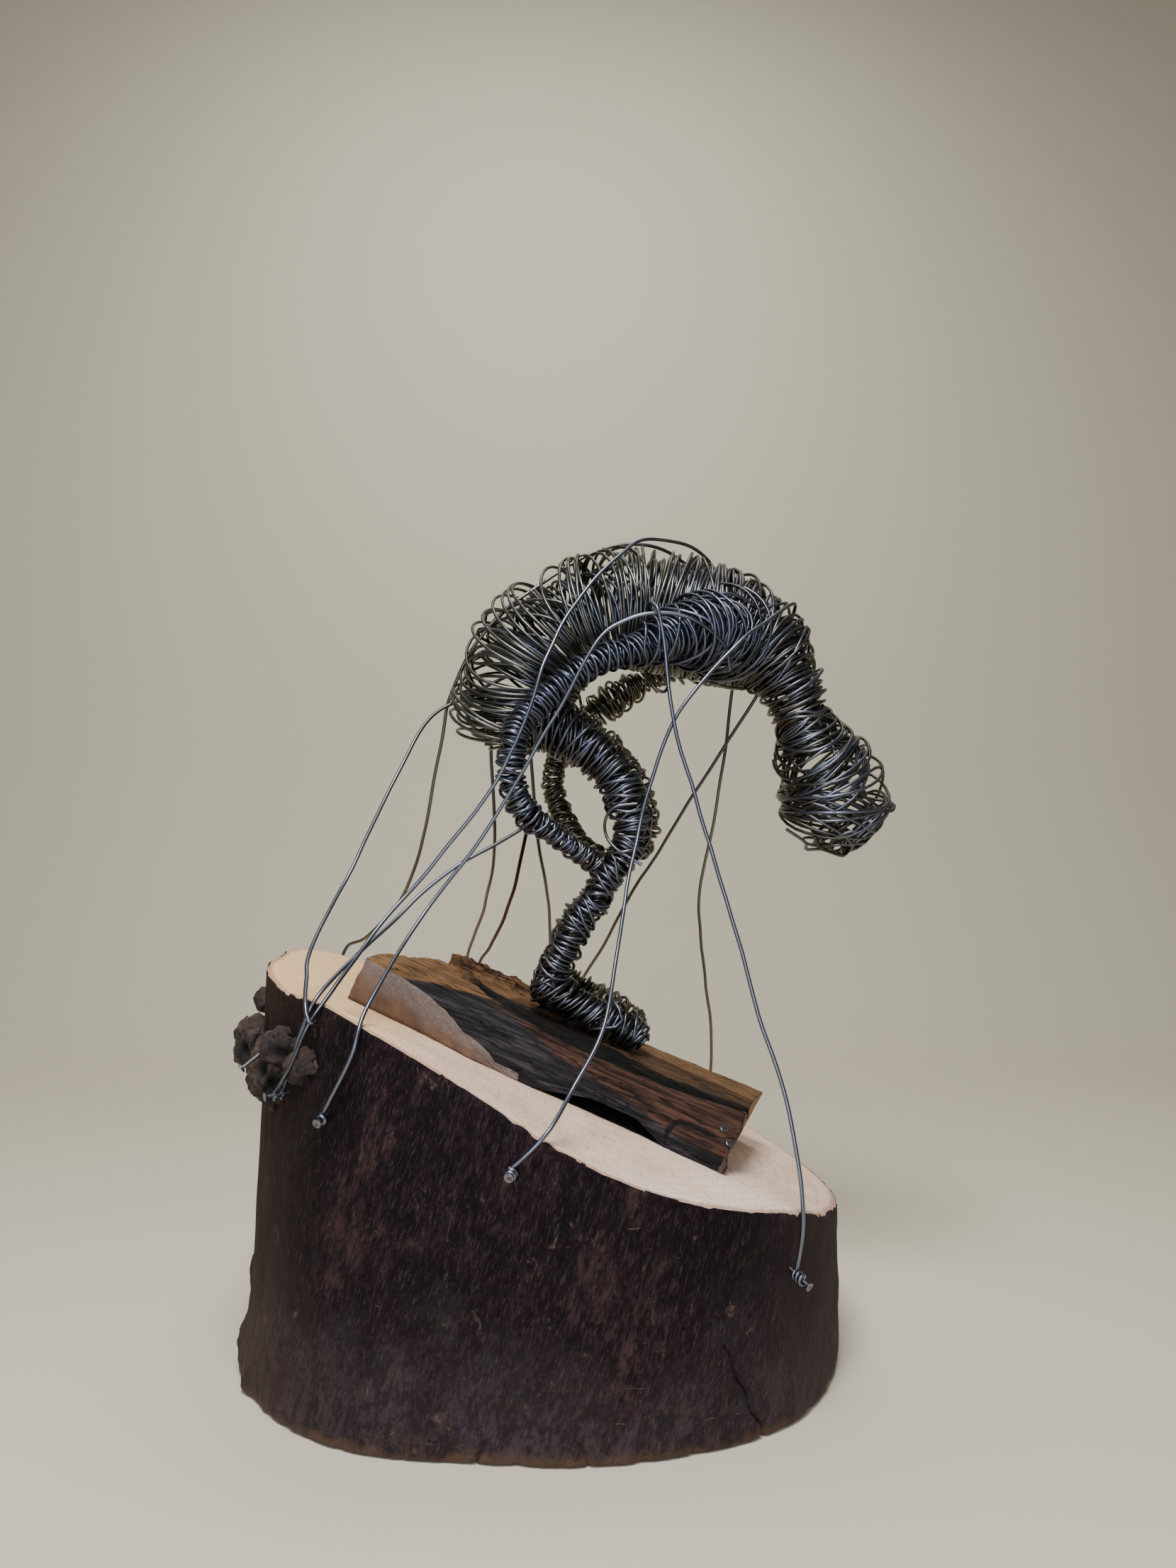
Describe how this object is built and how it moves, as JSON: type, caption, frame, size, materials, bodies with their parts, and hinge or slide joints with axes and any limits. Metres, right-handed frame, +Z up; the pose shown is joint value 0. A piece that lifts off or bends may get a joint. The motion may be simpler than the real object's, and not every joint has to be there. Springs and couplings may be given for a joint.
{
  "type": "wire sculpture",
  "caption": "Human figure wound from bright wire, bent forward over a split plank on a slant-cut log, with stiff wire tethers to nails in the log.",
  "frame": {"origin": "middle of the log's level underside", "axes": "+Z up from the underside; +X the way the figure faces and the cut falls; -Y the near side with the round edge of the plank"},
  "size_m": [0.3568, 0.298, 0.447],
  "materials": {
    "log_wood": "dark weathered sapwood with fine fibres, pale sawn slanted cut",
    "plank_wood": "split and sawn wood, partly charred, with a pale brown sawn end",
    "wire_steel": "dull bright drawn wire, greyish blue to olive",
    "tether_steel": "dull bright drawn wire",
    "nail_steel": "bright round nails"
  },
  "bodies": {
    "root": {"log": "log_wood", "plank": "plank_wood", "plank_nail_1": "nail_steel", "plank_nail_2": "nail_steel", "wire_figure": "wire_steel", "tether_back": "tether_steel", "tether_shoulder": "tether_steel", "tether_forearm": "tether_steel", "tether_hip_front": "tether_steel", "tether_hip_back": "tether_steel", "tether_seat": "tether_steel", "tether_elbow": "tether_steel", "tether_thigh": "tether_steel", "tether_neck": "tether_steel", "tether_chest": "tether_steel", "tether_throat": "tether_steel", "tether_arm": "tether_steel", "nail_free": "nail_steel", "nail_left": "nail_steel", "nail_left_rim": "nail_steel", "nail_front": "nail_steel", "nail_right": "nail_steel", "nail_back_left": "nail_steel", "nail_back_inner": "nail_steel", "nail_back_middle": "nail_steel", "nail_back_right": "nail_steel"}
  },
  "joints": []
}
